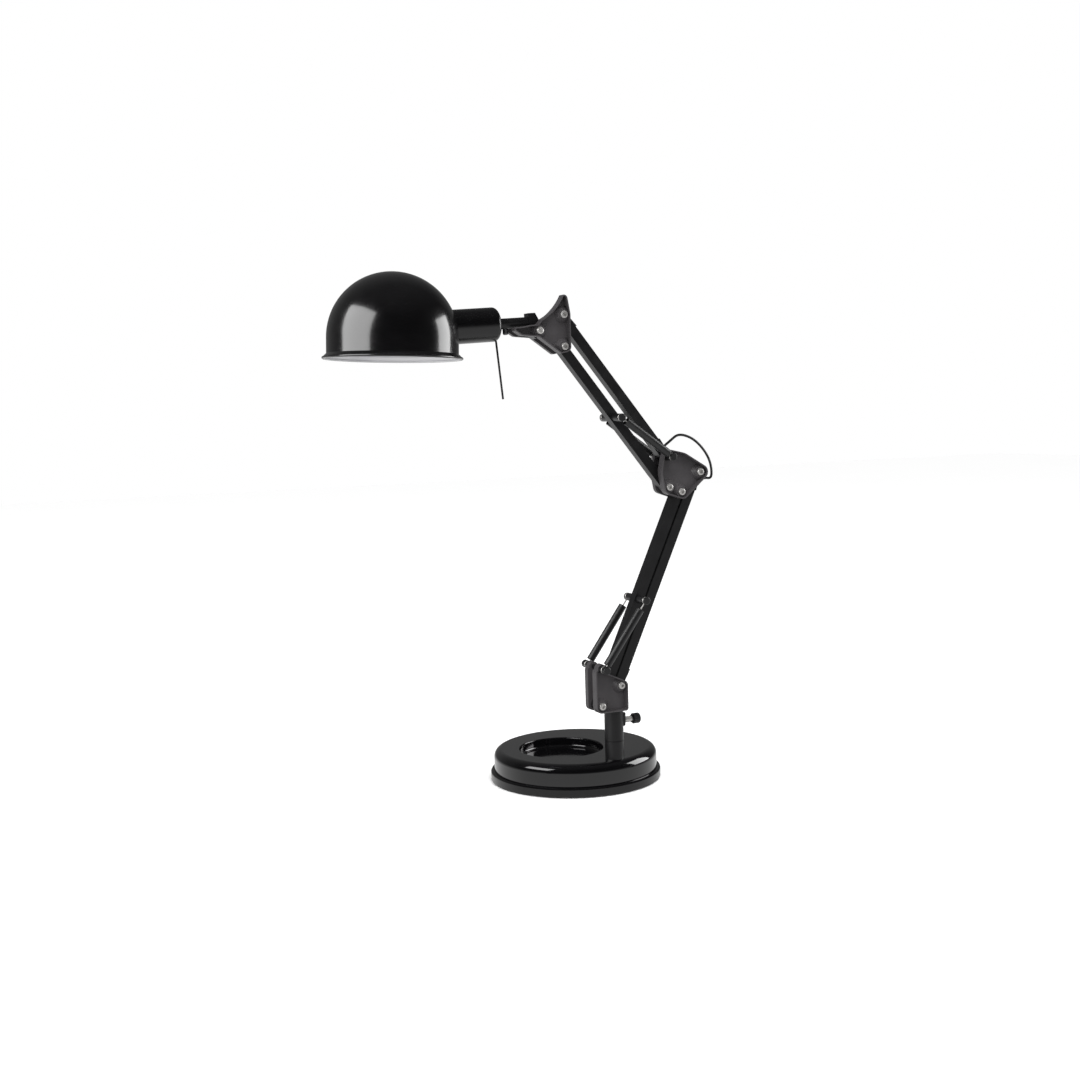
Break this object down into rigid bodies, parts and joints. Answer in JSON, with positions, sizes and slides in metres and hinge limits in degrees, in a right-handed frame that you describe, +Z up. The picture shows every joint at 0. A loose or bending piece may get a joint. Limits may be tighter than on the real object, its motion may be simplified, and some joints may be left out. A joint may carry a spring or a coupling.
{
  "type": "desk lamp",
  "caption": "Balanced-arm desk lamp with a dome shade, square-tube arms with sleeved springs, a swivel post and a weighted round base with a dish.",
  "frame": {"origin": "centre of the round base's underside, on the surface the lamp stands on", "axes": "+Z up, the arms swing in an upright plane along X with the shade at the -X end, and -Y is the side that faces the viewer"},
  "size_m": [0.4105, 0.2249, 0.5225],
  "materials": {
    "black_enamel": "gloss",
    "black_plastic": "satin",
    "bright_zinc": "satin",
    "dark_steel": "satin",
    "white_enamel": "satin",
    "cast_iron": "rough",
    "felt": "matt",
    "cord_rubber": "satin",
    "nylon": "satin",
    "shade_enamel": "gloss",
    "socket_brass": "satin"
  },
  "bodies": {
    "base": {"base_cover": "black_enamel", "base_tray": "black_plastic", "base_weight": "cast_iron", "base_pad": "felt", "base_screws": "bright_zinc", "cord_grommet": "cord_rubber", "clamp_spacer": "dark_steel", "foot_nut": "bright_zinc", "post_core": "dark_steel", "post_lower_tube": "black_enamel", "post_upper_tube": "black_enamel"},
    "thumb_screw": {"thumb_screw": "bright_zinc", "thumb_knob": "black_plastic"},
    "turret": {"foot_plate_near": "black_enamel", "foot_plate_far": "black_enamel", "swivel_spigot": "black_enamel", "anchor_pins": "black_enamel", "foot_bolts": "bright_zinc", "foot_nuts": "bright_zinc", "foot_washers": "nylon"},
    "lower_arm": {"lower_rear_bar": "black_enamel", "lower_cord_bushes": "black_plastic"},
    "lower_link": {"lower_front_bar": "black_enamel", "lower_spring_pin": "black_plastic"},
    "lower_springs": {"lower_foot_hooks": "bright_zinc", "lower_spring_sleeves": "black_plastic", "lower_spring_coils": "dark_steel"},
    "lower_hooks": {"lower_top_hooks": "bright_zinc"},
    "elbow": {"elbow_plate_near": "black_enamel", "elbow_plate_far": "black_enamel", "elbow_bolts": "bright_zinc", "elbow_nuts": "bright_zinc", "elbow_washers": "nylon", "elbow_spring_pin": "black_plastic", "cord_loop_upper": "cord_rubber", "cord_loop_lower": "cord_rubber"},
    "upper_arm": {"upper_lower_bar": "black_enamel", "upper_spring_pin": "black_plastic"},
    "upper_link": {"upper_link_bar": "black_enamel", "upper_cord_bushes": "black_plastic"},
    "upper_springs": {"upper_foot_hooks": "bright_zinc", "upper_spring_sleeves": "black_plastic", "upper_spring_coils": "dark_steel"},
    "upper_hooks": {"upper_top_hooks": "bright_zinc"},
    "head_bracket": {"head_plate_near": "black_enamel", "head_plate_far": "black_enamel", "head_bolts": "bright_zinc", "head_nuts": "bright_zinc", "head_washers": "nylon"},
    "knuckle": {"knuckle": "black_enamel"},
    "head": {"neck_tube": "black_enamel", "neck_lock_screw": "dark_steel", "neck_collar": "bright_zinc", "neck_nut": "bright_zinc", "socket_cover": "black_plastic", "lampholder": "black_plastic", "socket_contacts": "socket_brass", "shade_ring": "black_plastic", "shade": "shade_enamel", "rod_handle": "black_enamel"}
  },
  "joints": [
    {"name": "thumb_screw_turn", "type": "hinge", "parent": "base", "child": "thumb_screw", "pos_m": [0.01215, -0.06894, 0.071], "axis": [1, 0, 0], "range_deg": [0, 360]},
    {"name": "post_swivel", "type": "hinge", "parent": "base", "child": "turret", "pos_m": [0.01215, -0.06894, 0.081], "axis": [0, 0, 1], "range_deg": [-170, 170]},
    {"name": "lower_arm_swing", "type": "hinge", "parent": "turret", "child": "lower_arm", "pos_m": [0.01656, -0.06894, 0.1091], "axis": [0, 1, 0], "range_deg": [-69.6, 3.9]},
    {"name": "lower_link_swing", "type": "hinge", "parent": "turret", "child": "lower_link", "pos_m": [-0.00585, -0.06894, 0.0895], "axis": [0, 1, 0], "range_deg": [-69.65, 3.95]},
    {"name": "lower_spring_swing", "type": "hinge", "parent": "turret", "child": "lower_springs", "pos_m": [-0.00645, -0.06894, 0.1284], "axis": [0, 1, 0], "range_deg": [-100.27, 5.67]},
    {"name": "lower_hook_swing", "type": "hinge", "parent": "lower_link", "child": "lower_hooks", "pos_m": [0.04217, -0.06894, 0.19438], "axis": [0, 1, 0], "range_deg": [-29.28, 1.69]},
    {"name": "elbow_level", "type": "hinge", "parent": "lower_arm", "child": "elbow", "pos_m": [0.11376, -0.06894, 0.32141], "axis": [0, 1, 0], "range_deg": [-3.95, 69.65], "deforming": ["cord_loop_lower"]},
    {"name": "upper_arm_swing", "type": "hinge", "parent": "elbow", "child": "upper_arm", "pos_m": [0.07706, -0.06894, 0.30721], "axis": [0, 1, 0], "range_deg": [-42, 5]},
    {"name": "upper_link_swing", "type": "hinge", "parent": "elbow", "child": "upper_link", "pos_m": [0.07706, -0.06894, 0.33851], "axis": [0, 1, 0], "range_deg": [-42.05, 5.05], "deforming": ["cord_loop_upper"]},
    {"name": "upper_spring_swing", "type": "hinge", "parent": "elbow", "child": "upper_springs", "pos_m": [0.07706, -0.06894, 0.33851], "axis": [0, 1, 0], "range_deg": [-47.09, 5.65]},
    {"name": "upper_hook_swing", "type": "hinge", "parent": "upper_arm", "child": "upper_hooks", "pos_m": [0.01967, -0.06894, 0.37988], "axis": [0, 1, 0], "range_deg": [-4.67, 0.6]},
    {"name": "head_level", "type": "hinge", "parent": "upper_arm", "child": "head_bracket", "pos_m": [-0.03636, -0.06894, 0.45082], "axis": [0, 1, 0], "range_deg": [-5.05, 42.05]},
    {"name": "head_tilt", "type": "hinge", "parent": "head_bracket", "child": "knuckle", "pos_m": [-0.06276, -0.06894, 0.46642], "axis": [0, 1, 0], "range_deg": [-45, 60]},
    {"name": "head_turn", "type": "hinge", "parent": "knuckle", "child": "head", "pos_m": [-0.07156, -0.06894, 0.47504], "axis": [-0.9984, 0, -0.0558], "range_deg": [-90, 90]}
  ],
  "couplings": [
    {"joint": "lower_link_swing", "follows": "lower_arm_swing", "ratio": 1},
    {"joint": "lower_spring_swing", "follows": "lower_arm_swing", "ratio": 1.44},
    {"joint": "lower_hook_swing", "follows": "lower_arm_swing", "ratio": 0.42},
    {"joint": "elbow_level", "follows": "lower_arm_swing", "ratio": -1},
    {"joint": "upper_link_swing", "follows": "upper_arm_swing", "ratio": 1},
    {"joint": "upper_spring_swing", "follows": "upper_arm_swing", "ratio": 1.12},
    {"joint": "upper_hook_swing", "follows": "upper_arm_swing", "ratio": 0.11},
    {"joint": "head_level", "follows": "upper_arm_swing", "ratio": -1}
  ]
}
